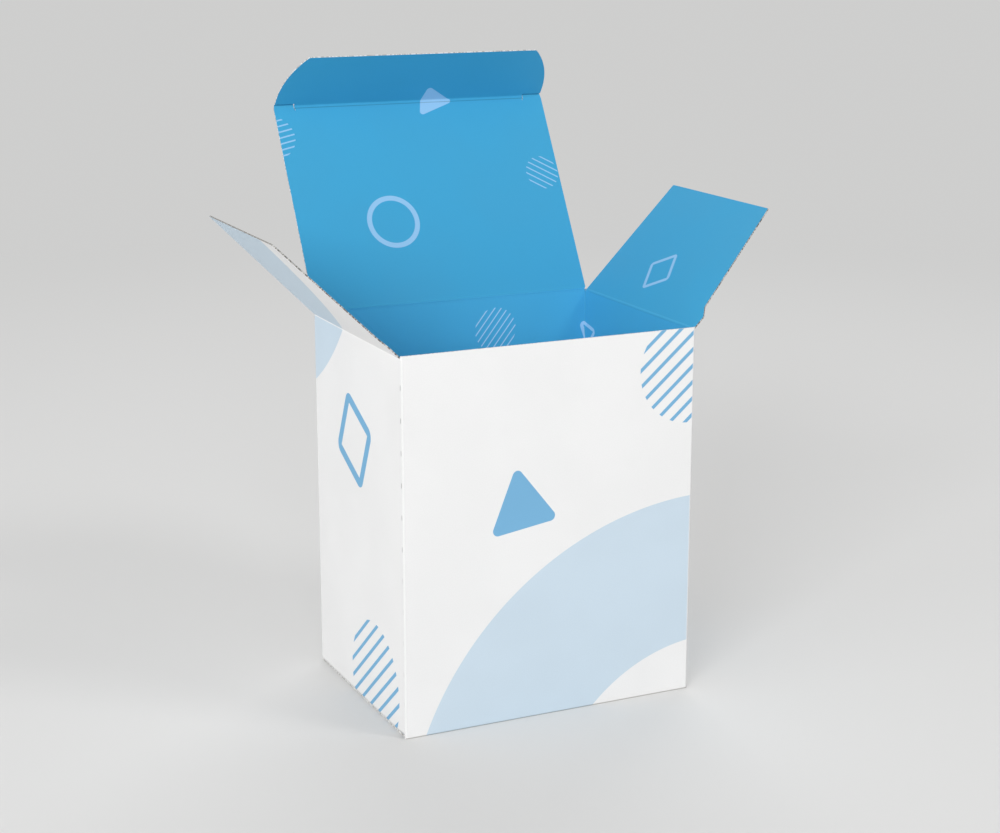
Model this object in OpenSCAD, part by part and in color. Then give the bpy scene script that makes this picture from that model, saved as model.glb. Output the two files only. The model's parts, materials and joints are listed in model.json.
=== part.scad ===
// Tuck end carton of folded paperboard, standing open on its closed base.
// Origin at the centre of the base, +Z up, front wall towards -Y, millimetres.

/* [Carton] */
// Width, side to side
body_w = 100; // [70:1:180]
// Depth, front to back
body_d = 75; // [50:1:140]
// Height
body_h = 121; // [70:1:240]

/* [Board and folds] */
// Thickness of the paperboard
board_t = 0.45; // [0.3:0.05:0.7]
// Inside radius of the folds that stay bent
fold_in_r = 0.3; // [0.2:0.05:0.8]
// Length of the crushed score beside a fold that opens
score_l = 1; // [0.8:0.1:1.2]
// Gap between a flap's rounded root and the edge that it folds on
fold_gap = 0.1; // [0.06:0.02:0.2]
// Gap between layers of board that lie on each other
layer_gap = 0.2; // [0.1:0.05:0.3]
// Gap beside a cut that runs into a fold
cut_gap = 0.15; // [0.1:0.05:0.4]

/* [Closing panels] */
// Gap between the front wall and the fold of a closing panel
front_gap = 1.1; // [0.8:0.1:1.8]
// Inset of a closing panel's side edges from the side walls
panel_inset = 0.3; // [0.2:0.1:1]
// Angle of the open lid, from shut
lid_open = 120; // [0:1:240]
// Angle of the base panel, from shut
base_open = 0; // [0:1:200]

/* [Tuck flaps] */
// Gap between a tuck flap's sides and the side walls
tuck_side_gap = 0.2; // [0.1:0.05:0.6]
// Length of a tuck flap, from its fold to its free edge
tuck_l = 22; // [14:0.5:24]
// Radius of a tuck flap's rounded ends
tuck_end_r = 29; // [24:1:40]
// Straight side of a tuck flap, before its end is rounded
tuck_side_l = 2; // [1.5:0.5:5]
// Fold of a tuck flap while its panel is shut
tuck_shut = 101; // [98:1:104]
// How far a tuck flap unfolds for each degree that its panel opens
tuck_follow = 0.26; // [0.2:0.01:0.3]
// Length of the slit at each end of the lid's tuck fold
slit_l = 7.7; // [7.5:0.1:12]

/* [Dust flaps] */
// Gap between the free edges of two shut dust flaps
dust_meet_gap = 2; // [2:0.5:20]
// Length of a top dust flap's shoulder, which locks into the slit
shoulder_l = 5; // [3:0.5:5]
// Step from the front fold back to a dust flap's front edge
dust_step = 3.4; // [3:0.1:6]
// Taper of the front edge, towards the free edge
dust_taper = 8.6; // [0:0.1:20]
// Angle of the open left dust flap, from shut
left_open = 135; // [0:1:240]
// Angle of the open right dust flap, from shut
right_open = 134; // [0:1:240]

/* [Glued seam] */
// Width of the glued strip behind the left wall
glue_w = 12; // [8:1:20]
// Distance of the strip's root from the walls' top and bottom edges
glue_inset = 3; // [2:0.5:8]
// Angle of the strip's slanted ends
glue_angle = 15; // [5:1:30]
// Distance of the left wall's cut edge from the bend in the rear left corner
seam_gap = 0.1; // [0.05:0.05:0.5]

/* [Hidden] */
half_w = body_w / 2;
half_d = body_d / 2;
fold_r = fold_in_r + board_t;
root_clear = board_t / 2 + fold_gap;
rear_axis_y = half_d - board_t / 2;
side_axis_x = half_w - board_t / 2;
panel_axis_z = body_h - board_t / 2;
dust_axis_z = panel_axis_z - board_t - layer_gap;
rear_top_z = panel_axis_z - root_clear;
side_top_z = dust_axis_z - root_clear;
bottom_dust_z = board_t + layer_gap;
panel_w = body_w - 2 * panel_inset;
panel_l = body_d - 2 * board_t - front_gap;
tuck_w = body_w - 2 * (board_t + tuck_side_gap);
locked_root_w = panel_w - 2 * (slit_l + cut_gap);
tuck_lean = tuck_shut - 90;
slit_h = (1.5 * board_t + 2 * layer_gap + board_t / 2 * sin(tuck_lean)) / cos(tuck_lean);
dust_inset = fold_r + cut_gap;
dust_front_y = dust_inset - half_d;
dust_rear_y = half_d - dust_inset;
dust_l = side_axis_x - dust_meet_gap / 2;
cut_over = 1;
paper_white = "#EFEFEF";
print_blue = "#42A3D4";
$fn = 48;

// Wedge off the outer face beside a fold on the X axis; board towards -Y, outer face +Z
module score_cut(length) {
    slope = board_t / 2 / score_l;
    rotate([90, 0, 90])
        linear_extrude(length, center = true)
            polygon([
                [cut_over, -cut_over * slope],
                [-score_l, board_t / 2],
                [-score_l, board_t],
                [cut_over, board_t]
            ]);
}

// The same wedge on the wall that the fold joins; board towards -Z, outer face +Y
module wall_score_cut(length) {
    rotate([90, 0, 0])
        mirror([0, 0, 1])
            score_cut(length);
}

// Flap cut to the outline given, with a rounded root on the X axis and the board towards -Y
module hinged_board(root_w) {
    difference() {
        linear_extrude(board_t, center = true)
            children();
        score_cut(root_w + cut_gap);
    }
    rotate([0, 90, 0])
        cylinder(d = board_t, h = root_w, center = true);
}

// Outline of a closing panel up to its tuck flap's root
module panel_outline() {
    translate([-panel_w / 2, root_clear - panel_l])
        square([panel_w, panel_l - root_clear]);
}

// The lid's corners, which run on past the slits to the tuck fold
module slit_corners() {
    for (side = [-1, 1])
        translate([side * (panel_w - slit_l) / 2, -panel_l])
            square([slit_l, 2 * root_clear + cut_gap], center = true);
}

// Slits at the ends of the tuck fold, as high as the dust flap that locks into them
module slits() {
    for (side = [-1, 1])
        translate([side * (locked_root_w / 2 + slit_l), 0])
            square([2 * slit_l, 2 * slit_h], center = true);
}

// Outline of a tuck flap with large rounded ends
module tuck_outline() {
    end_x = tuck_w / 2 - tuck_end_r;
    difference() {
        translate([-tuck_w / 2, -tuck_l])
            square([tuck_w, tuck_l]);
        for (side = [-1, 1])
            difference() {
                translate([side * (end_x + tuck_end_r), -tuck_side_l - tuck_end_r])
                    square([2 * tuck_end_r, 2 * tuck_end_r], center = true);
                translate([side * end_x, -tuck_side_l])
                    circle(tuck_end_r, $fn = 180);
            }
    }
}

// Outline of a top dust flap, front edge towards -X: shoulder, step back, tapered front edge
module top_dust_outline() {
    polygon([
        [dust_front_y, 0],
        [dust_front_y, -shoulder_l],
        [dust_front_y + dust_step, -shoulder_l - dust_step],
        [dust_front_y + dust_step + dust_taper, -dust_l],
        [dust_rear_y, -dust_l],
        [dust_rear_y, 0]
    ]);
}

// Outline of a bottom dust flap, which has no shoulder
module bottom_dust_outline() {
    polygon([
        [dust_front_y + dust_step, 0],
        [dust_front_y + dust_step + dust_taper, -dust_l],
        [dust_rear_y, -dust_l],
        [dust_rear_y, 0]
    ]);
}

// Turns a closing panel open about its own fold
module opened(angle) {
    rotate([-angle, 0, 0])
        children();
}

// Puts a tuck flap on the far fold of a panel that is opened by an angle
module on_tuck_fold(angle) {
    opened(angle)
        translate([0, -panel_l, 0])
            rotate([tuck_shut - tuck_follow * angle, 0, 0])
                children();
}

// Puts a closure on the rear wall's top fold
module on_rear_fold() {
    translate([0, rear_axis_y, panel_axis_z])
        children();
}

// Turns what is made for the top upside down, for the bottom of the carton
module for_bottom() {
    translate([0, 0, body_h])
        mirror([0, 0, 1])
            children();
}

// Left dust flap on its fold, opened by an angle
module left_flap(angle) {
    translate([-side_axis_x, 0, dust_axis_z])
        rotate([0, 0, 90])
            opened(angle)
                hinged_board(dust_rear_y - dust_front_y)
                    top_dust_outline();
}

module round_rect(w, d, r) {
    square([w, d - 2 * r], center = true);
    square([w - 2 * r, d], center = true);
    for (x = [-1, 1], y = [-1, 1])
        translate([x * (w / 2 - r), y * (d / 2 - r)])
            circle(r);
}

// Plan of the four walls, open at the rear left corner
module wall_plan() {
    open_l = board_t + fold_r;
    open_y = half_d - fold_r - board_t - seam_gap;
    difference() {
        round_rect(body_w, body_d, fold_r);
        round_rect(body_w - 2 * board_t, body_d - 2 * board_t, fold_in_r);
        translate([-half_w - cut_over, open_y])
            square([open_l + cut_over, body_d]);
    }
}

// Plan of the rear left corner: the rear wall turns in behind the left wall's cut edge
module seam_plan() {
    turn_x = -half_w + board_t + fold_r;
    turn_y = half_d - fold_r;
    open_y = turn_y - board_t - seam_gap;
    translate([-half_w, open_y])
        square([board_t, board_t]);
    translate([-half_w + board_t, open_y])
        square([board_t, turn_y - open_y]);
    intersection() {
        difference() {
            translate([turn_x, turn_y])
                circle(fold_r);
            translate([turn_x, turn_y])
                circle(fold_in_r);
        }
        translate([turn_x - fold_r, turn_y])
            square([fold_r, fold_r]);
    }
}

// Walls at full height, before their edges are cut to the folds
module tall_walls() {
    linear_extrude(body_h) {
        wall_plan();
        seam_plan();
    }
}

// What is cut off the rear and side walls above their top folds
module above_folds() {
    side_l = body_d - 2 * fold_r;
    translate([-half_w - cut_over, half_d - fold_r, rear_top_z])
        cube([body_w + 2 * cut_over, fold_r + cut_over, body_h]);
    on_rear_fold()
        wall_score_cut(body_w + cut_over);
    for (side = [0, 1])
        mirror([side, 0, 0]) {
            translate([half_w - fold_r - board_t, -side_l / 2, side_top_z])
                cube([fold_r + board_t + cut_over, side_l, body_h]);
            translate([side_axis_x, 0, dust_axis_z])
                rotate([0, 0, -90])
                    wall_score_cut(side_l);
        }
}

// What is cut off the rear wall below its bottom fold, and off the side walls below their bends
module below_folds() {
    side_l = body_d - 2 * fold_r;
    for_bottom() {
        translate([-half_w - cut_over, half_d - fold_r, rear_top_z])
            cube([body_w + 2 * cut_over, fold_r + cut_over, body_h]);
        on_rear_fold()
            wall_score_cut(body_w + cut_over);
    }
    for (side = [0, 1])
        mirror([side, 0, 0])
            translate([half_w - fold_r - board_t, -side_l / 2, -cut_over])
                cube([fold_r + board_t + cut_over, side_l, cut_over + bottom_dust_z + fold_r]);
}

// Bottom dust flap on the left, bent in from the side wall and lying above the base panel
module bottom_dust_flap() {
    bend_z = bottom_dust_z + fold_r;
    bend_x = -half_w + fold_r;
    translate([0, dust_rear_y, 0])
        rotate([90, 0, 0])
            linear_extrude(dust_rear_y - dust_front_y - dust_step)
                intersection() {
                    translate([bend_x, bend_z])
                        difference() {
                            circle(fold_r);
                            circle(fold_in_r);
                        }
                    translate([bend_x - fold_r, bend_z - fold_r])
                        square([fold_r, fold_r]);
                }
    difference() {
        translate([-side_axis_x, 0, bottom_dust_z + board_t / 2])
            rotate([0, 0, 90])
                linear_extrude(board_t, center = true)
                    bottom_dust_outline();
        translate([-half_w - cut_over, -half_d, -cut_over])
            cube([cut_over + fold_r, body_d, bend_z + 2 * cut_over]);
    }
}

// Strip that runs on from the rear wall and is glued behind the left wall
module glue_strip() {
    root_y = half_d - fold_r;
    end_y = half_d - glue_w;
    low_z = bottom_dust_z + board_t + glue_inset;
    high_z = side_top_z - glue_inset;
    slant = (root_y - end_y) * tan(glue_angle);
    translate([-half_w + board_t, 0, 0])
        rotate([90, 0, 90])
            linear_extrude(board_t)
                polygon([
                    [root_y, low_z],
                    [root_y, high_z],
                    [end_y, high_z - slant],
                    [end_y, low_z + slant]
                ]);
}

module carton_body() {
    color(paper_white)
        union() {
            difference() {
                tall_walls();
                above_folds();
                below_folds();
            }
            bottom_dust_flap();
            mirror([1, 0, 0])
                bottom_dust_flap();
            glue_strip();
        }
}

module lid_panel() {
    color(print_blue)
        on_rear_fold()
            opened(lid_open)
                hinged_board(panel_w) {
                    panel_outline();
                    slit_corners();
                }
}

module lid_tuck_flap() {
    color(print_blue)
        on_rear_fold()
            on_tuck_fold(lid_open)
                hinged_board(locked_root_w)
                    difference() {
                        tuck_outline();
                        slits();
                    }
}

module left_dust_flap() {
    color(paper_white)
        left_flap(left_open);
}

module right_dust_flap() {
    color(print_blue)
        mirror([1, 0, 0])
            left_flap(right_open);
}

module base_panel() {
    color(paper_white)
        for_bottom()
            on_rear_fold()
                opened(base_open)
                    hinged_board(panel_w)
                        panel_outline();
}

module base_tuck_flap() {
    color(paper_white)
        for_bottom()
            on_rear_fold()
                on_tuck_fold(base_open)
                    hinged_board(tuck_w)
                        tuck_outline();
}

carton_body();
lid_panel();
lid_tuck_flap();
left_dust_flap();
right_dust_flap();
base_panel();
base_tuck_flap();
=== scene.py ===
# Tuck end carton of folded paperboard, standing open.
# Each piece is cut flat out of one printed blank, creased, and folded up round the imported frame.
import json
import math

import bmesh
import bpy
from mathutils import Matrix, Vector


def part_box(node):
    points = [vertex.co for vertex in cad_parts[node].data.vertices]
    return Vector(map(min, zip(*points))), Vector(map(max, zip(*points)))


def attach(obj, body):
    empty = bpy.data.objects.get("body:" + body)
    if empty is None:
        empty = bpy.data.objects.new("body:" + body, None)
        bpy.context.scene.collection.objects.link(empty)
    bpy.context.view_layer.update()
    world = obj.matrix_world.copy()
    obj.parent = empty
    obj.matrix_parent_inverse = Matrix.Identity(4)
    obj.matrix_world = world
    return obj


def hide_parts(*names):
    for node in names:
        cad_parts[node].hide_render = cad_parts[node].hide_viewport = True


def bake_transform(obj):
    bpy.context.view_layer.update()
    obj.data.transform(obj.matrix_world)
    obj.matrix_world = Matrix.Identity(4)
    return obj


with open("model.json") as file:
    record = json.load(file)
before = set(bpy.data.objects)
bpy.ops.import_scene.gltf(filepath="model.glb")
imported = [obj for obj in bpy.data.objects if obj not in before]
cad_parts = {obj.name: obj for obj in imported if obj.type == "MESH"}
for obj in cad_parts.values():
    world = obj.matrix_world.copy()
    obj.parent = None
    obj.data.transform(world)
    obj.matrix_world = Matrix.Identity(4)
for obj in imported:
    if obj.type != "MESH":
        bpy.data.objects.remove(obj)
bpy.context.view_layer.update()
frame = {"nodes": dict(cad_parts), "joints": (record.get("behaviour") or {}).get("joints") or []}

print("frame loaded:", len(frame["nodes"]), "nodes")

# The blank lies in millimetres: x runs round the walls from the front left fold, to the right as
# seen from outside, y runs up, and z points out of the outer side.
millimetre = 0.001
wallLow, wallHigh = (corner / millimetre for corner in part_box("carton_body"))
hinges = {joint["name"]: Vector(joint["pos_m"]) / millimetre for joint in frame["joints"]}
carton = {
    "width": wallHigh.x - wallLow.x,
    "depth": wallHigh.y - wallLow.y,
    "height": wallHigh.z,
}
board = {
    "thickness": 0.45,
    "insideRadius": 0.3,  # of a fold
    "edgeRadius": 0.06,  # softens the cut edges
    "cornerRadius": 0.5,  # of a flap's free corners
    "sharpRadius": 0.2,  # of the lid's free corners, beside its slits
    "panelInset": 0.3,  # of the lid's and the base panel's sides
    "notchInset": 0.8,  # where these sides are cut back beside the fold
    "notchBefore": 0.25,  # from the fold
    "notchPast": 0.4,
    "cornerSteps": 4,  # faces round a flap's corner
    "edgeSteps": 2,
    "foldSteps": 8,  # faces round a fold
    "supportRows": 2,  # of faces past a fold or a crease
    "layerGap": 0.2,  # between boards that lie on each other
    "creaseReach": 0.9,  # from a hinge line to where the board lies flat
    "creaseSteps": 6,  # rows of faces on each side of a hinge line
    "beadWidth": 1.2,  # of the ridge that a crease raises inside
    "beadHeight": 0.09,
    "printedLean": 0.6,  # least upward share of a printed face's normal
    "sharpAngle": 18,  # between two faces, from which their edge shows
}
halfBoard = board["thickness"] / 2
outerRadius = board["insideRadius"] + board["thickness"]
middleRadius = board["insideRadius"] + halfBoard
rightFold = carton["width"]
rearFold = rightFold + carton["depth"]
seamFold = rearFold + carton["width"] - board["thickness"]
rearMiddle = rearFold + carton["width"] / 2
dustLine = hinges["left_flap_hinge"].z
lidLine = hinges["lid_hinge"].z
lidTuckLine = lidLine + (hinges["lid_tuck_fold"] - hinges["lid_hinge"]).length
baseLine = hinges["base_hinge"].z
baseTuckLine = baseLine - (hinges["base_tuck_fold"] - hinges["base_hinge"]).length
wallFolds = (0.0, rightFold, rearFold, seamFold)
sideWallWays = (-1, 1, -1, 1)  # from each of these folds to its side wall
xAxis, yAxis = 0, 1
nearly = 0.01  # places this close are the same
cutSlack = 0.002  # a corner this close to a cut lies on it


def arc(centreX, centreY, radius, fromAngle, toAngle, steps):
    angles = [math.radians(fromAngle + (toAngle - fromAngle) * step / steps) for step in range(steps + 1)]
    return [(centreX + radius * math.cos(angle), centreY + radius * math.sin(angle)) for angle in angles]


# A slab of board from its outline, anticlockwise. Its edges along the rows in joins stay square.
def cutBoard(outline, joins=(), roundedCorners=(), cornerRadius=board["cornerRadius"]):
    bm = bmesh.new()
    bm.faces.new([bm.verts.new((x, y, 0)) for x, y in outline])
    bm.verts.ensure_lookup_table()
    if roundedCorners:
        corners = [bm.verts[place] for place in roundedCorners]
        bmesh.ops.bevel(
            bm, geom=corners, offset=cornerRadius, offset_type="OFFSET", segments=board["cornerSteps"],
            profile=0.5, affect="VERTICES", clamp_overlap=True, material=-1,
        )
    bm.normal_update()
    bmesh.ops.solidify(bm, geom=bm.faces[:], thickness=board["thickness"])
    middle = sum(vert.co.z for vert in bm.verts) / len(bm.verts)
    bmesh.ops.translate(bm, verts=bm.verts[:], vec=(0, 0, -middle))
    bmesh.ops.recalc_face_normals(bm, faces=bm.faces[:])
    rim = [edge for edge in bm.edges if isRim(edge, joins)]
    bmesh.ops.bevel(
        bm, geom=rim, offset=board["edgeRadius"], offset_type="OFFSET", segments=board["edgeSteps"],
        profile=0.5, affect="EDGES", clamp_overlap=True, material=-1,
    )
    lean = board["printedLean"]
    for face in bm.faces:
        face.material_index = 0 if face.normal.z > lean else 1 if face.normal.z < -lean else 2
    return bm


# Edges between a printed side and a cut side, away from the rows where pieces join
def isRim(edge, joins):
    first, second = (vert.co for vert in edge.verts)
    if abs(first.z - second.z) > nearly:
        return False
    return not any(abs(first.y - row) < nearly and abs(second.y - row) < nearly for row in joins)


# Straight rows of edges across the whole board, where it will bend
def crossCut(bm, axis, places):
    normal = Vector((1, 0, 0)) if axis == xAxis else Vector((0, 1, 0))
    for place in places:
        everything = bm.verts[:] + bm.edges[:] + bm.faces[:]
        bmesh.ops.bisect_plane(
            bm, geom=everything, dist=cutSlack, plane_co=normal * place, plane_no=normal,
        )


# Rows round a fold from first to last, with the support rows on each side
def foldRows(first, last, steps):
    step = (last - first) / steps
    past = board["supportRows"]
    return [first + step * row for row in range(-past, steps + past + 1)]


# A pressed line: a groove outside and a bead inside
def crease(bm, place, fromX, toX):
    for vert in bm.verts:
        off = abs(vert.co.y - place) / (board["beadWidth"] / 2)
        if off < 1 and fromX <= vert.co.x <= toX:
            vert.co.z -= board["beadHeight"] * (1 + math.cos(math.pi * off)) / 2


# The print follows the blank, so the UV map holds the flat place of every corner, in millimetres
def keepFlatPlaces(bm):
    uvMap = bm.loops.layers.uv.new("blank")
    flat = bm.verts.layers.float_vector.new("flat")
    for vert in bm.verts:
        vert[flat] = vert.co
    for face in bm.faces:
        for loop in face.loops:
            loop[uvMap].uv = loop.vert.co.xy


# Rolls the board over a fold, inwards for a positive angle. The board between first and last goes
# round the fold, and what is past last turns with it. A whole piece past the fold only turns.
def bend(bm, axis, first, last, angle, radius=middleRadius, within=None, whole=False):
    flat = bm.verts.layers.float_vector["flat"]
    way = math.copysign(1, last - first)
    length = abs(last - first)
    along = Vector((way, 0, 0)) if axis == xAxis else Vector((0, way, 0))
    pivot = along * first * way - Vector((0, 0, math.copysign(radius, angle)))
    turnAxis = "Y" if axis == xAxis else "X"
    turn = math.radians(angle) * (way if axis == xAxis else -way)
    for vert in bm.verts:
        place = vert[flat]
        if within and not within[0] <= place[1 - axis] <= within[1]:
            continue
        share = 1 if whole else min(max((place[axis] - first) * way / length, 0), 1)
        if share > 0:
            moved = vert.co - along * length * share - pivot
            vert.co = Matrix.Rotation(turn * share, 3, turnAxis) @ moved + pivot


# A hinge fold, whose two boards' middles meet on the hinge line at rest
def hingeBend(bm, place, way, angle, whole=False):
    reach = middleRadius * math.tan(math.radians(abs(angle)) / 2)
    bend(bm, yAxis, place - way * reach, place + way * reach, angle, whole=whole)


# A square fold between two walls
def squareUp(bm, fold, way, whole=False):
    bend(bm, xAxis, fold - way * outerRadius, fold + way * outerRadius, 90, whole=whole)


# Carries what hangs on the rear wall round to its place
def followRearWall(bm):
    squareUp(bm, rearFold, 1, whole=True)
    squareUp(bm, rightFold, 1, whole=True)


# Turns the folded blank upright, with the front wall towards -Y, and makes it a piece in metres
def standUp(bm, name, materials):
    upright = Matrix.Rotation(math.radians(90), 3, "X")
    bmesh.ops.rotate(bm, verts=bm.verts[:], cent=(0, 0, 0), matrix=upright)
    frontMiddle = (-carton["width"] / 2, halfBoard - carton["depth"] / 2, 0)
    bmesh.ops.translate(bm, verts=bm.verts[:], vec=frontMiddle)
    bmesh.ops.scale(bm, verts=bm.verts[:], vec=(millimetre,) * 3)
    bm.verts.layers.float_vector.remove(bm.verts.layers.float_vector["flat"])
    bm.normal_update()
    for face in bm.faces:
        face.smooth = True
    for edge in bm.edges:
        edge.smooth = edge.calc_face_angle(math.pi) < math.radians(board["sharpAngle"])
    mesh = bpy.data.meshes.new(name)
    bm.to_mesh(mesh)
    bm.free()
    for material in materials:
        mesh.materials.append(material)
    piece = bpy.data.objects.new(name, mesh)
    bpy.context.scene.collection.objects.link(piece)
    return piece


# Bakes a piece's placement into its mesh
def hangOn(piece):
    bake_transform(piece)


# Helpers for the materials

def addNode(tree, kind, **settings):
    node = tree.nodes.new("ShaderNode" + kind)
    for key, value in settings.items():
        setattr(node, key, value)
    return node


def feed(tree, socket, value):
    if isinstance(value, bpy.types.NodeSocket):
        tree.links.new(value, socket)
    else:
        socket.default_value = value


def calc(tree, operation, *values):
    node = addNode(tree, "Math", operation=operation)
    for socket, value in zip(node.inputs, values):
        feed(tree, socket, value)
    return node.outputs[0]


def lengthOf(tree, vector):
    node = addNode(tree, "VectorMath", operation="LENGTH")
    feed(tree, node.inputs[0], vector)
    return node.outputs["Value"]


# From low to high, smoothly
def ramp(tree, value, low, high, lowResult=0.0, highResult=1.0):
    node = addNode(tree, "MapRange", interpolation_type="SMOOTHSTEP")
    for socket, given in zip(node.inputs, (value, low, high, lowResult, highResult)):
        feed(tree, socket, given)
    return node.outputs["Result"]


# Where a distance is below zero there is ink, with the soft rim of an offset print
def ink(tree, distance):
    return ramp(tree, distance, printing["softness"], -printing["softness"])


def mixColours(tree, factor, first, second, blend="MIX"):
    node = addNode(tree, "Mix", data_type="RGBA", blend_type=blend)
    feed(tree, node.inputs["Factor"], factor)
    feed(tree, node.inputs["A"], first)
    feed(tree, node.inputs["B"], second)
    return node.outputs["Result"]


def grey(shade):
    return (shade, shade, shade, 1)


def blankPlace(tree):
    return addNode(tree, "UVMap", uv_map="blank").outputs["UV"]


# The blank's place as seen from a motif's own centre, turned by its angle and pressed flatter
def fromCentre(tree, place, centre, angle=0.0, flatness=1.0):
    node = addNode(tree, "Mapping", vector_type="TEXTURE")
    feed(tree, node.inputs["Vector"], place)
    node.inputs["Location"].default_value = (centre[0], centre[1], 0)
    node.inputs["Rotation"].default_value = (0, 0, math.radians(angle))
    node.inputs["Scale"].default_value = (1, flatness, 1)
    return node.outputs["Vector"]


def apart(tree, vector):
    node = addNode(tree, "SeparateXYZ")
    feed(tree, node.inputs[0], vector)
    return node.outputs["X"], node.outputs["Y"]


def discInk(tree, place, motif):
    centred = fromCentre(tree, place, motif["centre"])
    return ink(tree, calc(tree, "SUBTRACT", lengthOf(tree, centred), motif["radius"]))


def ringInk(tree, place, motif):
    centred = fromCentre(tree, place, motif["centre"])
    middle = motif["radius"] - motif["stroke"] / 2
    offLine = calc(tree, "ABSOLUTE", calc(tree, "SUBTRACT", lengthOf(tree, centred), middle))
    return ink(tree, calc(tree, "SUBTRACT", offLine, motif["stroke"] / 2))


# A polygon of equal sides with rounded corners, filled, or only its outline where it has a stroke.
# Every place is folded round into one sector, so that only one side and corner are measured.
def polygonInk(tree, place, motif):
    centred = fromCentre(tree, place, motif["centre"], motif["angle"], motif.get("flatness", 1.0))
    sector = 2 * math.pi / motif["sides"]
    x, y = apart(tree, centred)
    around = calc(tree, "ARCTAN2", x, calc(tree, "MULTIPLY", y, -1.0))
    whichSide = calc(tree, "ROUND", calc(tree, "DIVIDE", around, sector))
    offSide = calc(tree, "SUBTRACT", around, calc(tree, "MULTIPLY", whichSide, sector))
    away = lengthOf(tree, centred)
    outward = calc(tree, "MULTIPLY", away, calc(tree, "COSINE", offSide))
    sideways = calc(tree, "ABSOLUTE", calc(tree, "MULTIPLY", away, calc(tree, "SINE", offSide)))
    halfSide = motif["inner"] * math.tan(sector / 2)
    pastSide = calc(tree, "MAXIMUM", calc(tree, "SUBTRACT", outward, motif["inner"]), 0.0)
    pastCorner = calc(tree, "MAXIMUM", calc(tree, "SUBTRACT", sideways, halfSide), 0.0)
    cornerSquared = calc(tree, "MULTIPLY", pastCorner, pastCorner)
    squared = calc(tree, "MULTIPLY_ADD", pastSide, pastSide, cornerSquared)
    distance = calc(tree, "SUBTRACT", calc(tree, "SQRT", squared), motif["round"])
    if "stroke" in motif:
        distance = calc(tree, "SUBTRACT", calc(tree, "ABSOLUTE", distance), motif["stroke"] / 2)
    return ink(tree, distance)


# A disc of parallel lines
def hatchInk(tree, place, motif):
    centred = fromCentre(tree, place, motif["centre"], motif["angle"])
    across = apart(tree, centred)[1]
    spacings = calc(tree, "SUBTRACT", calc(tree, "DIVIDE", across, motif["pitch"]), motif["phase"])
    offLine = calc(tree, "ABSOLUTE", calc(tree, "SUBTRACT", spacings, calc(tree, "ROUND", spacings)))
    pastLine = calc(tree, "MULTIPLY_ADD", offLine, motif["pitch"], -motif["stroke"] / 2)
    pastRim = calc(tree, "SUBTRACT", lengthOf(tree, centred), motif["radius"])
    return ink(tree, calc(tree, "MAXIMUM", pastLine, pastRim))


inkForms = {"disc": discInk, "ring": ringInk, "polygon": polygonInk, "hatch": hatchInk}


def printInk(tree, place, motifs):
    allInk = 0.0
    for motif in motifs.values():
        allInk = calc(tree, "MAXIMUM", inkForms[motif["form"]](tree, place, motif), allInk)
    return allInk


# A soft stroke of the given half width along x or y at a place on the blank
def strokeAlong(tree, value, line, halfWidth):
    off = calc(tree, "ABSOLUTE", calc(tree, "SUBTRACT", value, line))
    return ramp(tree, off, halfWidth, halfWidth * printing["strokeCore"])


def between(tree, value, low, high):
    above, below = calc(tree, "GREATER_THAN", value, low), calc(tree, "LESS_THAN", value, high)
    return calc(tree, "MULTIPLY", above, below)


paper = {
    "fibreScale": 2.6,  # per millimetre
    "fibreDetail": 3.0,
    "fibreAngle": 12,  # to the blank's x
    "cloudScale": 0.035,
    "cloudDetail": 2.0,
    "cloudLow": 0.3,  # a cloud's range, as the noise gives it
    "cloudHigh": 0.7,
    "bumpStrength": 0.25,
    "bumpHeight": 0.012,
    "roughness": 0.56,
    "roughSpread": 0.04,  # either way
    "gloss": 0.14,
    "grainLow": 0.2,  # the fibres' range, as the noise gives it
    "grainHigh": 0.8,
    "grainDark": 0.985,
    "grainLight": 1.01,
    "driftDark": 0.99,
    "driftLight": 1.01,
    "coreScale": 1.8,  # fibres on a cut edge, per millimetre
    "coreDetail": 2.0,
    "coreLow": 0.4,
    "coreHigh": 0.6,
    "coreBump": 0.03,
    "coreRoughness": 0.85,
    "coreGloss": 0.15,
    "coreDark": (0.40, 0.39, 0.37, 1),
    "coreLight": (0.76, 0.76, 0.75, 1),
    "flapCoreDark": (0.13, 0.12, 0.11, 1),  # the dust flaps' cut edges are darker
    "flapCoreLight": (0.50, 0.49, 0.47, 1),
}


# Noise on the blank, from 0 to 1
def noise(tree, place, scale, detail):
    node = addNode(tree, "TexNoise", noise_dimensions="2D")
    feed(tree, node.inputs["Vector"], place)
    node.inputs["Scale"].default_value = scale
    node.inputs["Detail"].default_value = detail
    return node.outputs["Fac"]


# Fine fibres and the slight unevenness of coated board
def boardSurface(tree, shader, place, height, roughness):
    turned = fromCentre(tree, place, (0, 0), paper["fibreAngle"])
    fibre = noise(tree, turned, paper["fibreScale"], paper["fibreDetail"])
    cloud = noise(tree, place, paper["cloudScale"], paper["cloudDetail"])
    bump = addNode(tree, "Bump")
    bump.inputs["Strength"].default_value = paper["bumpStrength"]
    bump.inputs["Distance"].default_value = height * millimetre
    feed(tree, bump.inputs["Height"], fibre)
    feed(tree, shader.inputs["Normal"], bump.outputs["Normal"])
    smoothest, roughest = roughness - paper["roughSpread"], roughness + paper["roughSpread"]
    rough = ramp(tree, cloud, paper["cloudLow"], paper["cloudHigh"], smoothest, roughest)
    feed(tree, shader.inputs["Roughness"], rough)
    return fibre, cloud


def newMaterial(name):
    material = bpy.data.materials.new(name)
    material.use_nodes = True
    tree = material.node_tree
    shader = tree.nodes["Principled BSDF"]
    return material, tree, shader


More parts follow.
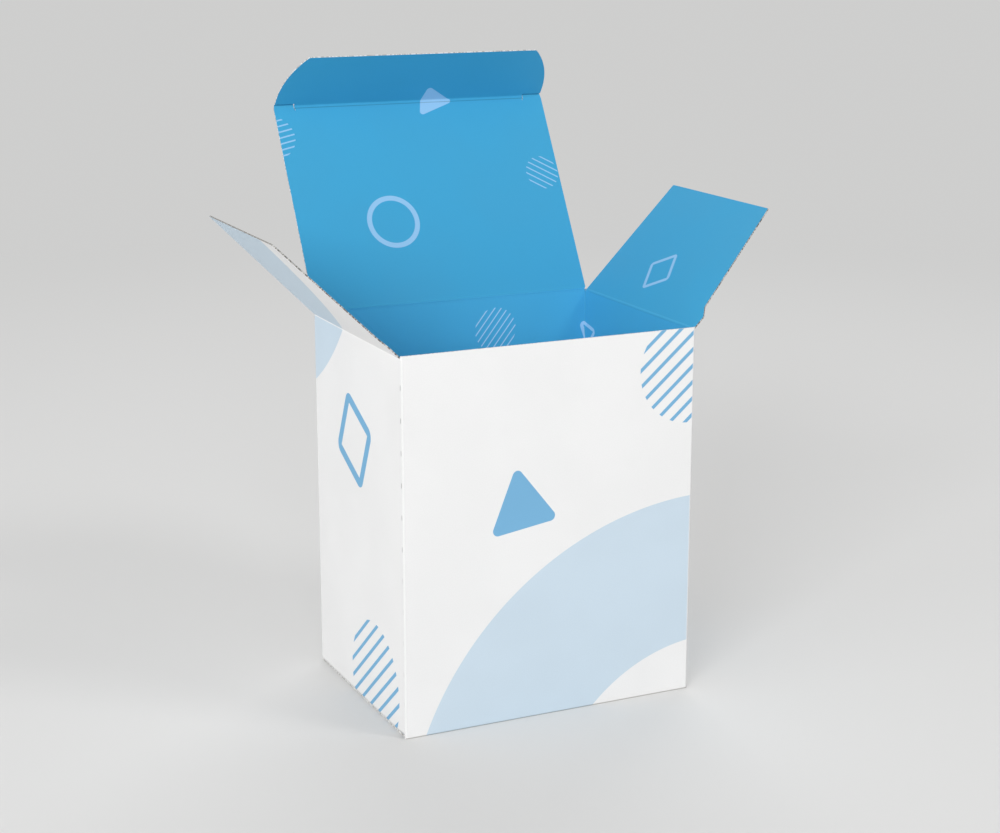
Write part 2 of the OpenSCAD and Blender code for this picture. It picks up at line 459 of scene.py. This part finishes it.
printing = {
    "softness": 0.05,
    "strokeCore": 0.4,  # share of a worn stroke's width that is at full strength
    "bareBoard": (0.80, 0.80, 0.80, 1),
    "paleField": (0.553, 0.66, 0.75, 1),
    "outerBlue": (0.178, 0.415, 0.64, 1),
    "innerBlue": (0.050, 0.358, 0.612, 1),
    "wallBlueWithPaintedLight": (0.080, 0.46, 0.755, 1),  # inside the walls, lighter than the lid's blue as painted light against their shade
    "wallFiguresWithPaintedLight": (0.44, 0.72, 0.97, 1),
    "innerLight": (0.285, 0.540, 0.800, 1),
    "bareMargin": 1.3,  # along the base panel's sides
}
foldWearAndShade = {
    "foldRubAndShade": (0.745, 0.745, 0.745, 1),  # along an upright fold: the coating worn pale over ink, and painted shade on the bare board against the highlight its bend catches
    "foldRubAndShadeHalfWidth": 1.05,
    "creaseHighlight": (0.90, 0.90, 0.90, 1),  # painted highlight along a dust flap's fold
    "creaseHalfWidth": 0.45,
    "insideHalfWidth": 0.75,  # of the shade on a fold's inner side
    "insideShade": 0.87,
    "insideAbove": 0.2,  # its middle, from a dust flap's fold
    "crackSpacing": 10.02,  # small cracks in the coating beside a fold
    "crackPhase": 0.107,
    "crackPlace": 0.85,  # on the side walls' side
    "crackHalfWidth": 0.36,
    "crackHalfLength": 1.2,
    "crackCore": 0.3,  # share of its length at full strength
    "crackShade": 0.42,
    "crackLeast": 0.7,  # of the strongest
    "crackFadeLow": 45.0,  # they are faint below this height
    "crackFadeHigh": 75.0,
    "crackFaint": 0.2,
    "footHalfWidth": 0.4,  # painted contact shadow along the front's lower edge
    "footShade": (0.55, 0.54, 0.52, 1),
    "scoreBelow": 1.05,  # the tuck fold's pressed line, darkened with painted shade, from the fold
    "scoreHalfWidth": 0.27,
    "scoreShade": 0.72,
    "scoreHalfLength": 42.6,  # as far as the slits
    "slitAbove": 0.1,  # where painted shade in the tuck's tone starts on the lid's corners, from the fold
    "slitShade": (0.58, 0.68, 0.76, 1),
}
outerMotifs = {
    "frontTriangle": {
        "form": "polygon", "sides": 3, "centre": (39.6, 69.6), "inner": 5.2, "round": 1.72, "angle": 8.5,
    },
    "frontHatch": {
        "form": "hatch", "centre": (98.16, 108.09), "radius": 17.7, "angle": 40.7,
        "pitch": 4.051, "phase": 0.937, "stroke": 1.18,
    },
    "leftSquare": {
        "form": "polygon", "sides": 4, "centre": (-39.9, 85.9), "inner": 8.35, "round": 1.7,
        "angle": -25.4, "stroke": 3.1,
    },
    "leftHatch": {
        "form": "hatch", "centre": (-24.97, 9.65), "radius": 20.14, "angle": 39.6,
        "pitch": 4.449, "phase": 0.091, "stroke": 1.25,
    },
}
paleFields = {
    "front": {"form": "disc", "centre": (104.57, -38.9), "radius": 105.14},
    "leftWall": {"form": "disc", "centre": (-119.3, 179.2), "radius": 92.5},
    "leftFlap": {"form": "disc", "centre": (-88.0, 170.6), "radius": 64.2},
}
bareDisc = {"centre": (106.21, -40.49), "radius": 57.88}  # inside the front's pale field
innerMotifs = {
    "lidRing": {"form": "ring", "centre": (240.75, 149.9), "radius": 9.38, "stroke": 1.75},
    "lidHatch": {
        "form": "hatch", "centre": (181.67, 164.33), "radius": 6.05, "angle": 31.8,
        "pitch": 2.073, "phase": 0.579, "stroke": 0.46,
    },
    "lidEdgeHatch": {
        "form": "hatch", "centre": (276.8, 182.5), "radius": 7.6, "angle": -12.6,
        "pitch": 2.044, "phase": 0.588, "stroke": 0.52,
    },
    "tuckTriangle": {
        "form": "polygon", "sides": 3, "centre": (217.35, 193.65), "inner": 3.05, "round": 1.1,
        "angle": -20, "flatness": 0.88,
    },
    "rearHatch": {
        "form": "hatch", "centre": (209.77, 109.07), "radius": 7.6, "angle": 128.5,
        "pitch": 2.003, "phase": 0.6, "stroke": 0.41,
    },
    "cornerTriangle": {
        "form": "polygon", "sides": 3, "centre": (172.7, 104.9), "inner": 2.1, "round": 0.8, "angle": -49,
        "stroke": 1.3,
    },
    "flapSquare": {
        "form": "polygon", "sides": 4, "centre": (141.7, 135.4), "inner": 4.5, "round": 0.8, "angle": -32,
        "stroke": 1.3,
    },
}


# Upright folds get a grey line, worn pale over ink and painted shade on bare board against their bends'
# highlight, and small cracks beside them; the front's foot gets a painted contact shadow, the dust flaps'
# folds a painted highlight
def wornAndShadedFolds(tree, colour, x, y):
    onWalls = between(tree, y, 0.0, carton["height"])
    rubbedAndShaded = cracked = 0.0
    spacings = calc(tree, "DIVIDE", y, foldWearAndShade["crackSpacing"])
    rows = calc(tree, "SUBTRACT", spacings, foldWearAndShade["crackPhase"])
    row = calc(tree, "ROUND", rows)
    chance = addNode(tree, "TexWhiteNoise", noise_dimensions="1D")
    feed(tree, chance.inputs["W"], row)
    offRow = calc(tree, "ABSOLUTE", calc(tree, "SUBTRACT", rows, row))
    offCrack = calc(tree, "MULTIPLY", offRow, foldWearAndShade["crackSpacing"])
    crackCore = foldWearAndShade["crackHalfLength"] * foldWearAndShade["crackCore"]
    onCrack = ramp(tree, offCrack, foldWearAndShade["crackHalfLength"], crackCore)
    fadeLow, fadeHigh = foldWearAndShade["crackFadeLow"], foldWearAndShade["crackFadeHigh"]
    fading = ramp(tree, y, fadeLow, fadeHigh, foldWearAndShade["crackFaint"], 1.0)
    least = foldWearAndShade["crackLeast"]
    strength = calc(tree, "MULTIPLY_ADD", chance.outputs["Value"], 1.0 - least, least)
    strength = calc(tree, "MULTIPLY", strength, fading)
    onCrack = calc(tree, "MULTIPLY", onCrack, strength)
    for fold, sideWay in zip(wallFolds, sideWallWays):
        rubbedAndShaded = calc(tree, "MAXIMUM", strokeAlong(tree, x, fold, foldWearAndShade["foldRubAndShadeHalfWidth"]), rubbedAndShaded)
        crackLine = fold + sideWay * foldWearAndShade["crackPlace"]
        crack = strokeAlong(tree, x, crackLine, foldWearAndShade["crackHalfWidth"])
        cracked = calc(tree, "MAXIMUM", crack, cracked)
    rubbedAndShaded = calc(tree, "MULTIPLY", rubbedAndShaded, onWalls)
    cracked = calc(tree, "MULTIPLY", calc(tree, "MULTIPLY", cracked, onWalls), onCrack)
    # Grey line on the upright folds: worn coating over ink, painted shade on the bare board
    colour = mixColours(tree, rubbedAndShaded, colour, foldWearAndShade["foldRubAndShade"])
    colour = mixColours(tree, cracked, colour, grey(foldWearAndShade["crackShade"]), "MULTIPLY")
    # Painted contact shadow along the front's lower edge
    onFront = between(tree, x, 0.0, rightFold)
    foot = calc(tree, "MULTIPLY", strokeAlong(tree, y, 0.0, foldWearAndShade["footHalfWidth"]), onFront)
    colour = mixColours(tree, foot, colour, foldWearAndShade["footShade"], "MULTIPLY")
    # Painted highlight along the dust flaps' folds
    offFront = calc(tree, "SUBTRACT", 1.0, onFront)
    onCrease = strokeAlong(tree, y, dustLine, foldWearAndShade["creaseHalfWidth"])
    creaseHighlighted = calc(tree, "MULTIPLY", onCrease, offFront)
    return mixColours(tree, creaseHighlighted, colour, foldWearAndShade["creaseHighlight"])


def outerPrint():
    material, tree, shader = newMaterial("outerPrint")
    place = blankPlace(tree)
    fibre, cloud = boardSurface(tree, shader, place, paper["bumpHeight"], paper["roughness"])
    shader.inputs["Specular IOR Level"].default_value = paper["gloss"]
    bare = calc(tree, "SUBTRACT", 1.0, discInk(tree, place, bareDisc))
    x, y = apart(tree, place)
    aboveBase = calc(tree, "GREATER_THAN", y, 0.0)
    field = calc(tree, "MULTIPLY", printInk(tree, place, paleFields), bare)
    field = calc(tree, "MULTIPLY", field, aboveBase)
    colour = mixColours(tree, field, printing["bareBoard"], printing["paleField"])
    figures = calc(tree, "MULTIPLY", printInk(tree, place, outerMotifs), aboveBase)
    colour = mixColours(tree, figures, colour, printing["outerBlue"])
    colour = wornAndShadedFolds(tree, colour, x, y)
    feed(tree, shader.inputs["Base Color"], mottled(tree, colour, fibre, cloud))
    return material


def innerPrint():
    material, tree, shader = newMaterial("innerPrint")
    place = blankPlace(tree)
    fibre, cloud = boardSurface(tree, shader, place, paper["bumpHeight"], paper["roughness"])
    shader.inputs["Specular IOR Level"].default_value = paper["gloss"]
    x, y = apart(tree, place)
    # Painted light: the inner walls take a lighter blue and lighter figures than the lid, to make up for
    # the shade inside the carton
    onWalls = between(tree, y, 0.0, lidLine)
    colour = mixColours(tree, onWalls, printing["innerBlue"], printing["wallBlueWithPaintedLight"])
    figureColour = mixColours(tree, onWalls, printing["innerLight"], printing["wallFiguresWithPaintedLight"])
    colour = mixColours(tree, printInk(tree, place, innerMotifs), colour, figureColour)
    offMiddle = calc(tree, "ABSOLUTE", calc(tree, "SUBTRACT", x, rearMiddle))
    # Painted shade along the tuck fold's pressed line, which has no groove of its own
    score = strokeAlong(tree, y, lidTuckLine - foldWearAndShade["scoreBelow"], foldWearAndShade["scoreHalfWidth"])
    inSlit = calc(tree, "GREATER_THAN", offMiddle, foldWearAndShade["scoreHalfLength"])
    score = calc(tree, "MULTIPLY", score, calc(tree, "SUBTRACT", 1.0, inSlit))
    colour = mixColours(tree, score, colour, grey(foldWearAndShade["scoreShade"]), "MULTIPLY")
    # Painted shade: the lid's corners past the tuck fold take the tuck's darker, shaded tone
    pastFold = between(tree, y, lidTuckLine + foldWearAndShade["slitAbove"], lidTuckLine + board["creaseReach"])
    corner = calc(tree, "MULTIPLY", pastFold, inSlit)
    colour = mixColours(tree, corner, colour, foldWearAndShade["slitShade"], "MULTIPLY")
    dusty = calc(tree, "GREATER_THAN", offMiddle, carton["width"] / 2)
    shadeLine = dustLine + foldWearAndShade["insideAbove"]
    folded = calc(tree, "MULTIPLY", strokeAlong(tree, y, shadeLine, foldWearAndShade["insideHalfWidth"]), dusty)
    for fold in wallFolds:
        corner = calc(tree, "MULTIPLY", strokeAlong(tree, x, fold, foldWearAndShade["insideHalfWidth"]), onWalls)
        folded = calc(tree, "MAXIMUM", corner, folded)
    colour = mixColours(tree, folded, colour, grey(foldWearAndShade["insideShade"]), "MULTIPLY")
    marginFrom = carton["width"] / 2 - board["panelInset"] - printing["bareMargin"]
    nearSide = between(tree, offMiddle, marginFrom, carton["width"] / 2)
    margin = calc(tree, "MULTIPLY", nearSide, calc(tree, "LESS_THAN", y, 0.0))
    colour = mixColours(tree, margin, colour, printing["bareBoard"])
    feed(tree, shader.inputs["Base Color"], mottled(tree, colour, fibre, cloud))
    return material


# The faint unevenness of ink on board
def mottled(tree, colour, fibre, cloud):
    grain = ramp(
        tree, fibre, paper["grainLow"], paper["grainHigh"], paper["grainDark"], paper["grainLight"],
    )
    drift = ramp(
        tree, cloud, paper["cloudLow"], paper["cloudHigh"], paper["driftDark"], paper["driftLight"],
    )
    shade = calc(tree, "MULTIPLY", grain, drift)
    whole = addNode(tree, "CombineColor")
    for socket in whole.inputs:
        feed(tree, socket, shade)
    return mixColours(tree, 1.0, colour, whole.outputs["Color"], "MULTIPLY")


# The board's core, where it was cut
def cutEdge(name, dark, light):
    material, tree, shader = newMaterial(name)
    place = blankPlace(tree)
    boardSurface(tree, shader, place, paper["coreBump"], paper["coreRoughness"])
    shader.inputs["Specular IOR Level"].default_value = paper["coreGloss"]
    fibres = noise(tree, place, paper["coreScale"], paper["coreDetail"])
    clean = ramp(tree, fibres, paper["coreLow"], paper["coreHigh"])
    feed(tree, shader.inputs["Base Color"], mixColours(tree, clean, dark, light))
    return material


boardMaterials = [outerPrint(), innerPrint(), cutEdge("cutEdge", paper["coreDark"], paper["coreLight"])]
flapEdge = cutEdge("flapEdge", paper["flapCoreDark"], paper["flapCoreLight"])
print("materials made")

# The four walls with the glue strip and the two bottom dust flaps, one sheet
walls = {
    "cornerTop": 120.45,  # top of the rear corners
    "sideTop": 119.8,  # top of the side walls beside the dust flaps
    "dustFront": 0.9,  # ends of a top dust flap's fold, from the front and the rear fold
    "dustRear": 0.9,
    "seamGap": 0.1,
    "glueWidth": 12,
    "glueInset": 3,
    "glueAngle": 15,
    "dustStep": 3.4,
    "dustTaper": 8.6,
    "dustMeetGap": 2,
}
reach = board["creaseReach"]
bottomDustZ = board["thickness"] + board["layerGap"]
bottomBendTop = bottomDustZ + outerRadius
bottomBendEnd = bottomDustZ - outerRadius
bottomDustTip = bottomBendEnd - (carton["width"] / 2 - outerRadius - walls["dustMeetGap"] / 2)


# One side wall's edges, as distances from the front fold, from the front to the rear
def sideWallBottom():
    dustFront = walls["dustFront"] + walls["dustStep"]
    dustRear = carton["depth"] - walls["dustRear"]
    return [
        (outerRadius, 0), (outerRadius, bottomBendTop), (dustFront, bottomBendTop),
        (dustFront, bottomBendEnd), (dustFront + walls["dustTaper"], bottomDustTip),
        (dustRear, bottomDustTip), (dustRear, bottomBendTop),
    ]


def sideWallTop():
    dustRear = carton["depth"] - walls["dustRear"]
    return [
        (outerRadius, carton["height"]), (outerRadius, walls["sideTop"]),
        (walls["dustFront"], walls["sideTop"]), (walls["dustFront"], dustLine - reach),
        (dustRear, dustLine - reach), (dustRear, walls["sideTop"]),
    ]


def wallOutline():
    leftEnd = carton["depth"] - outerRadius - walls["seamGap"]
    rearStart, rearEnd = rearFold + outerRadius, seamFold - outerRadius
    glueStart = seamFold + outerRadius
    glueEnd = glueStart + walls["glueWidth"] - outerRadius
    glueLow = bottomDustZ + board["thickness"] + walls["glueInset"]
    glueHigh = walls["sideTop"] - walls["glueInset"]
    slant = (glueEnd - glueStart) * math.tan(math.radians(walls["glueAngle"]))
    cornerLow = carton["height"] - walls["cornerTop"]
    bottom = [(-leftEnd, bottomBendTop)]
    bottom += [(-away, y) for away, y in reversed(sideWallBottom())]
    bottom += [(rightFold + away, y) for away, y in sideWallBottom()]
    bottom += [
        (rearFold - outerRadius, bottomBendTop), (rearFold - outerRadius, cornerLow),
        (rearStart, cornerLow), (rearStart, baseLine + reach), (rearEnd, baseLine + reach),
        (rearEnd, cornerLow), (glueStart, cornerLow), (glueStart, glueLow), (glueEnd, glueLow + slant),
    ]
    top = [
        (glueEnd, glueHigh - slant), (glueStart, glueHigh), (glueStart, walls["cornerTop"]),
        (rearEnd, walls["cornerTop"]), (rearEnd, lidLine - reach), (rearStart, lidLine - reach),
        (rearStart, walls["cornerTop"]), (rearFold - outerRadius, walls["cornerTop"]),
        (rearFold - outerRadius, walls["sideTop"]),
    ]
    top += [(rightFold + away, y) for away, y in reversed(sideWallTop())]
    top += [(-away, y) for away, y in sideWallTop()]
    return bottom + top + [(-leftEnd, walls["sideTop"])]


def makeWalls():
    joins = [dustLine - reach, lidLine - reach, baseLine + reach]
    bm = cutBoard(wallOutline(), joins=joins)
    for fold in wallFolds:
        crossCut(bm, xAxis, foldRows(fold - outerRadius, fold + outerRadius, board["foldSteps"]))
    crossCut(bm, yAxis, foldRows(bottomBendEnd, bottomBendTop, board["foldSteps"]))
    keepFlatPlaces(bm)
    for side in ((-carton["depth"], -outerRadius), (rightFold + outerRadius, rearFold - outerRadius)):
        bend(bm, yAxis, bottomBendTop, bottomBendEnd, 90, within=side)
    for fold in (seamFold, rearFold, rightFold):
        squareUp(bm, fold, 1)
    squareUp(bm, 0, -1)
    piece = standUp(bm, "cartonWalls", boardMaterials)
    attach(piece, "carton")
    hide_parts("carton_body")


makeWalls()
print("walls made")

# The lid on the rear wall's top fold, up to its tuck fold
lid = {
    "open": 120,  # from shut
    "slitLength": 7.1,
    "hookDepth": 1.8,  # of a slit's turned inner end, below the tuck fold
    "hookLean": 0.3,
    "hookWidth": 0.17,
    "pastFold": 0.62,  # how far its corners run past the tuck fold
    "cornerBend": 15,  # of what is past it
    "cornerInset": 0.35,  # of their slanted outer ends
    "cornerHeight": 1.9,  # of the slant
}
panelLeft = rearFold + board["panelInset"]
panelRight = rearFold + carton["width"] - board["panelInset"]
rootLeft = rearFold + board["notchInset"]
rootRight = seamFold - board["notchInset"]


# Rows on both sides of a hinge line, close enough for its crease and its bend
def hingeRows(line, way):
    steps = board["creaseSteps"]
    step = board["creaseReach"] / steps
    return [line + way * step * row for row in range(1 - steps, steps + board["supportRows"] + 1)]


def makeLid():
    notchLow, notchHigh = lidLine - board["notchBefore"], lidLine + board["notchPast"]
    cornerTop = lidTuckLine + lid["pastFold"]
    cornerLow = cornerTop - lid["cornerHeight"]
    slitEnd = carton["width"] / 2 - board["panelInset"] - lid["slitLength"]
    hookTip = slitEnd - lid["hookLean"]
    right = [
        (slitEnd, cornerTop), (slitEnd, lidTuckLine - reach), (hookTip, lidTuckLine - lid["hookDepth"]),
        (hookTip - lid["hookWidth"], lidTuckLine - lid["hookDepth"]),
        (slitEnd - lid["hookWidth"], lidTuckLine - reach),
    ]
    outline = [
        (rootLeft, lidLine - reach), (rootRight, lidLine - reach), (rootRight, notchLow),
        (panelRight, notchHigh), (panelRight, cornerLow), (panelRight - lid["cornerInset"], cornerTop),
    ]
    outline += [(rearMiddle + x, y) for x, y in right] + [(rearMiddle - x, y) for x, y in reversed(right)]
    outline += [
        (panelLeft + lid["cornerInset"], cornerTop), (panelLeft, cornerLow), (panelLeft, notchHigh),
        (rootLeft, notchLow),
    ]
    bm = cutBoard(
        outline, joins=[lidLine - reach, lidTuckLine - reach],
        roundedCorners=[5, len(outline) - 4],  # its two free corners
        cornerRadius=board["sharpRadius"],
    )
    cornerFoldTop = lidTuckLine + middleRadius * math.radians(lid["cornerBend"])
    crossCut(bm, yAxis, hingeRows(lidLine, 1) + [lidTuckLine, cornerFoldTop])
    keepFlatPlaces(bm)
    crease(bm, lidLine, rearFold, rearFold + carton["width"])
    bend(bm, yAxis, lidTuckLine, cornerFoldTop, lid["cornerBend"])
    hingeBend(bm, lidLine, 1, 90 - lid["open"])
    followRearWall(bm)
    piece = standUp(bm, "lidPanel", boardMaterials)
    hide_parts("lid_panel")
    hangOn(piece)


makeLid()
print("lid made")

# A tuck flap with large rounded ends; the lid's is slit at both ends of its fold
tuck = {
    "length": 22,
    "sideGap": 0.2,  # to the side walls
    "straight": 2,  # of its sides, before the round ends
    "endRadius": 29,
    "slitHeight": 1.0,  # above the fold line, room for a dust flap's shoulder
    "slitCorner": 0.1,  # cut off its inner corner
    "endSteps": 16,
    "lidFold": 69.8,  # at rest
    "baseFold": 101,
}
tuckHalf = carton["width"] / 2 - board["thickness"] - tuck["sideGap"]


# A tuck flap's right end, from the free part of its side round to the free edge
def tuckEnd(line, way):
    drop = tuck["length"] - tuck["straight"]
    sweep = math.degrees(math.asin(drop / tuck["endRadius"]))
    centreX = tuckHalf - tuck["endRadius"]
    points = arc(centreX, 0, tuck["endRadius"], 0, sweep, tuck["endSteps"])
    return [(x, line + way * (tuck["straight"] + y)) for x, y in points]


def makeLidTuck():
    rootHalf = carton["width"] / 2 - board["panelInset"] - lid["slitLength"] - lid["hookWidth"]
    slitTop = lidTuckLine + tuck["slitHeight"]
    right = [
        (rootHalf, lidTuckLine - reach), (rootHalf, slitTop - tuck["slitCorner"]),
        (rootHalf + tuck["slitCorner"], slitTop), (tuckHalf, slitTop),
    ]
    right += tuckEnd(lidTuckLine, 1)
    outline = [(rearMiddle + x, y) for x, y in right] + [(rearMiddle - x, y) for x, y in reversed(right)]
    lastRight = len(right) - 1
    bm = cutBoard(outline, joins=[lidTuckLine - reach], roundedCorners=[lastRight, lastRight + 1])
    crossCut(bm, yAxis, hingeRows(lidTuckLine, 1))
    keepFlatPlaces(bm)
    crease(bm, lidTuckLine, rearMiddle - rootHalf - nearly, rearMiddle + rootHalf + nearly)
    hingeBend(bm, lidTuckLine, 1, tuck["lidFold"])
    hingeBend(bm, lidLine, 1, 90 - lid["open"], whole=True)
    followRearWall(bm)
    piece = standUp(bm, "lidTuck", boardMaterials)
    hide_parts("lid_tuck_flap")
    hangOn(piece)


makeLidTuck()
print("lid tuck made")

# The top dust flaps on the side walls' folds
dustFlap = {
    "leftOpen": 135,  # from shut
    "rightOpen": 134.6,
    "leftShort": 0.0,  # cut off its end
    "rightShort": 0.5,
    "shoulder": 5,
}


def makeDustFlap(side):
    isLeft = side == "left"
    way = -1 if isLeft else 1
    start = 0 if isLeft else rightFold
    angle = 90 - dustFlap[side + "Open"]
    front, step = walls["dustFront"], walls["dustStep"]
    rear = carton["depth"] - walls["dustRear"]
    tip = dustLine + carton["width"] / 2 - halfBoard - walls["dustMeetGap"] / 2 - dustFlap[side + "Short"]
    shoulder = dustLine + dustFlap["shoulder"]
    points = [
        (front, dustLine - reach), (rear, dustLine - reach), (rear, tip),
        (front + step + walls["dustTaper"], tip), (front + step, shoulder + step), (front, shoulder),
    ]
    outline = [(start + way * away, y) for away, y in points]
    if isLeft:
        outline.reverse()
    freeCorners = range(2, len(points))
    cornersAt = [len(points) - 1 - corner if isLeft else corner for corner in freeCorners]
    bm = cutBoard(outline, joins=[dustLine - reach], roundedCorners=cornersAt)
    crossCut(bm, yAxis, hingeRows(dustLine, 1))
    keepFlatPlaces(bm)
    hingeBend(bm, dustLine, 1, angle)
    squareUp(bm, start, way, whole=True)
    piece = standUp(bm, side + "DustFlap", boardMaterials[:2] + [flapEdge])
    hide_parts(side + "_dust_flap")
    hangOn(piece)


for side in ("left", "right"):
    makeDustFlap(side)
print("dust flaps made")

# The base, shut under the bottom dust flaps

def makeBase():
    notchHigh, notchLow = baseLine + board["notchBefore"], baseLine - board["notchPast"]
    outline = [
        (rootLeft, baseLine + reach), (rootLeft, notchHigh), (panelLeft, notchLow),
        (panelLeft, baseTuckLine + reach), (panelRight, baseTuckLine + reach),
        (panelRight, notchLow), (rootRight, notchHigh), (rootRight, baseLine + reach),
    ]
    bm = cutBoard(outline, joins=[baseLine + reach, baseTuckLine + reach])
    crossCut(bm, yAxis, hingeRows(baseLine, -1))
    keepFlatPlaces(bm)
    hingeBend(bm, baseLine, -1, 90)
    followRearWall(bm)
    piece = standUp(bm, "basePanel", boardMaterials)
    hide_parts("base_panel")
    hangOn(piece)


def makeBaseTuck():
    right = [(tuckHalf, baseTuckLine + reach)] + tuckEnd(baseTuckLine, -1)
    outline = [(rearMiddle - x, y) for x, y in right] + [(rearMiddle + x, y) for x, y in reversed(right)]
    lastSide = len(right) - 1
    bm = cutBoard(outline, joins=[baseTuckLine + reach], roundedCorners=[lastSide, lastSide + 1])
    crossCut(bm, yAxis, hingeRows(baseTuckLine, -1))
    keepFlatPlaces(bm)
    hingeBend(bm, baseTuckLine, -1, tuck["baseFold"])
    hingeBend(bm, baseLine, -1, 90, whole=True)
    followRearWall(bm)
    piece = standUp(bm, "baseTuck", boardMaterials)
    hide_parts("base_tuck_flap")
    hangOn(piece)


makeBase()
makeBaseTuck()
print("base made")

# Floor, background, lamps and camera
studio = {
    "floorSize": 60,
    "floorDrop": 0.00005,  # below the carton's foot
    "floorRoughness": 0.9,
    "floorGloss": 0.1,
    "floorColour": (0.74, 0.74, 0.735, 1),
    "worldColour": (1, 1, 1, 1),
    "worldStrength": 0.46,
    "backColour": (0.62, 0.62, 0.615, 1),
    "fadeFrom": 0.3,  # metres from the carton where the floor starts to fade into the background
    "fadeTo": 0.9,
    "aim": (0, 0, 0.08),
}
lamps = {
    "frontPanel": {"azimuth": -20, "elevation": 18, "distance": 2.0, "size": 0.6, "power": 5.8},
    "sidePanel": {"azimuth": -45, "elevation": 22, "distance": 2.0, "size": 0.8, "power": 16.3},
    "leftPanel": {"azimuth": -75, "elevation": 12, "distance": 2.0, "size": 1.5, "power": 9.6},
    "keyLamp": {"azimuth": 40, "elevation": 45, "distance": 1.6, "size": 0.4, "power": 3.9},
    "backPanel": {"azimuth": 150, "elevation": 30, "distance": 2.0, "size": 1.5, "power": 14.0},
}
photo = {
    "place": (-0.26759, -0.572, 0.25076),  # metres
    "azimuth": -25.04,
    "elevation": 14.39,
    "lens": 72.41,
    "sensorWidth": 36,
}


# From the carton towards the front at azimuth 0, to its right at 90
def towards(azimuth, elevation):
    around, up = math.radians(azimuth), math.radians(elevation)
    return Vector((math.sin(around) * math.cos(up), -math.cos(around) * math.cos(up), math.sin(up)))


# What the camera sees directly, or in gloss or through something clear
def seenRays(tree):
    path = addNode(tree, "LightPath")
    seen = calc(tree, "ADD", path.outputs["Is Camera Ray"], path.outputs["Is Glossy Ray"])
    seen = calc(tree, "ADD", seen, path.outputs["Is Transmission Ray"])
    return calc(tree, "MINIMUM", seen, 1.0)


def makeFloor():
    bm = bmesh.new()
    bmesh.ops.create_grid(bm, x_segments=1, y_segments=1, size=studio["floorSize"] / 2)
    bmesh.ops.translate(bm, verts=bm.verts[:], vec=(0, 0, -studio["floorDrop"]))
    mesh = bpy.data.meshes.new("floor")
    bm.to_mesh(mesh)
    bm.free()
    material, tree, shader = newMaterial("floorPaint")
    shader.inputs["Base Color"].default_value = studio["floorColour"]
    shader.inputs["Roughness"].default_value = studio["floorRoughness"]
    shader.inputs["Specular IOR Level"].default_value = studio["floorGloss"]
    place = addNode(tree, "TexCoord").outputs["Object"]
    away = lengthOf(tree, place)
    fade = ramp(tree, away, studio["fadeFrom"], studio["fadeTo"])
    glow = addNode(tree, "Emission")
    glow.inputs["Color"].default_value = studio["backColour"]
    mix = addNode(tree, "MixShader")
    feed(tree, mix.inputs[0], calc(tree, "MULTIPLY", fade, seenRays(tree)))
    tree.links.new(shader.outputs[0], mix.inputs[1])
    tree.links.new(glow.outputs[0], mix.inputs[2])
    tree.links.new(mix.outputs[0], tree.nodes["Material Output"].inputs["Surface"])
    mesh.materials.append(material)
    floor = bpy.data.objects.new("floor", mesh)
    bpy.context.scene.collection.objects.link(floor)


def makeWorld():
    world = bpy.data.worlds.new("studioWorld")
    world.use_nodes = True
    tree = world.node_tree
    light = tree.nodes["Background"]
    light.inputs["Color"].default_value = studio["worldColour"]
    light.inputs["Strength"].default_value = studio["worldStrength"]
    back = addNode(tree, "Background")
    back.inputs["Color"].default_value = studio["backColour"]
    back.inputs["Strength"].default_value = 1.0
    mix = addNode(tree, "MixShader")
    feed(tree, mix.inputs[0], seenRays(tree))
    tree.links.new(light.outputs[0], mix.inputs[1])
    tree.links.new(back.outputs[0], mix.inputs[2])
    tree.links.new(mix.outputs[0], tree.nodes["World Output"].inputs["Surface"])
    bpy.context.scene.world = world


def makeLamp(name, lamp):
    light = bpy.data.lights.new(name, "AREA")
    light.size = lamp["size"]
    light.energy = lamp["power"]
    thing = bpy.data.objects.new(name, light)
    out = towards(lamp["azimuth"], lamp["elevation"])
    thing.location = Vector(studio["aim"]) + out * lamp["distance"]
    thing.rotation_euler = (-out).to_track_quat("-Z", "Y").to_euler()
    bpy.context.scene.collection.objects.link(thing)


def makeCamera():
    data = bpy.data.cameras.new("photoCamera")
    data.lens = photo["lens"]
    data.sensor_width = photo["sensorWidth"]
    camera = bpy.data.objects.new("photoCamera", data)
    camera.location = photo["place"]
    out = towards(photo["azimuth"], photo["elevation"])
    camera.rotation_euler = (-out).to_track_quat("-Z", "Y").to_euler()
    bpy.context.scene.collection.objects.link(camera)
    bpy.context.scene.camera = camera


makeFloor()
makeWorld()
for name, lamp in lamps.items():
    makeLamp(name, lamp)
makeCamera()
bpy.context.scene.view_settings.view_transform = "Standard"
print("studio made")
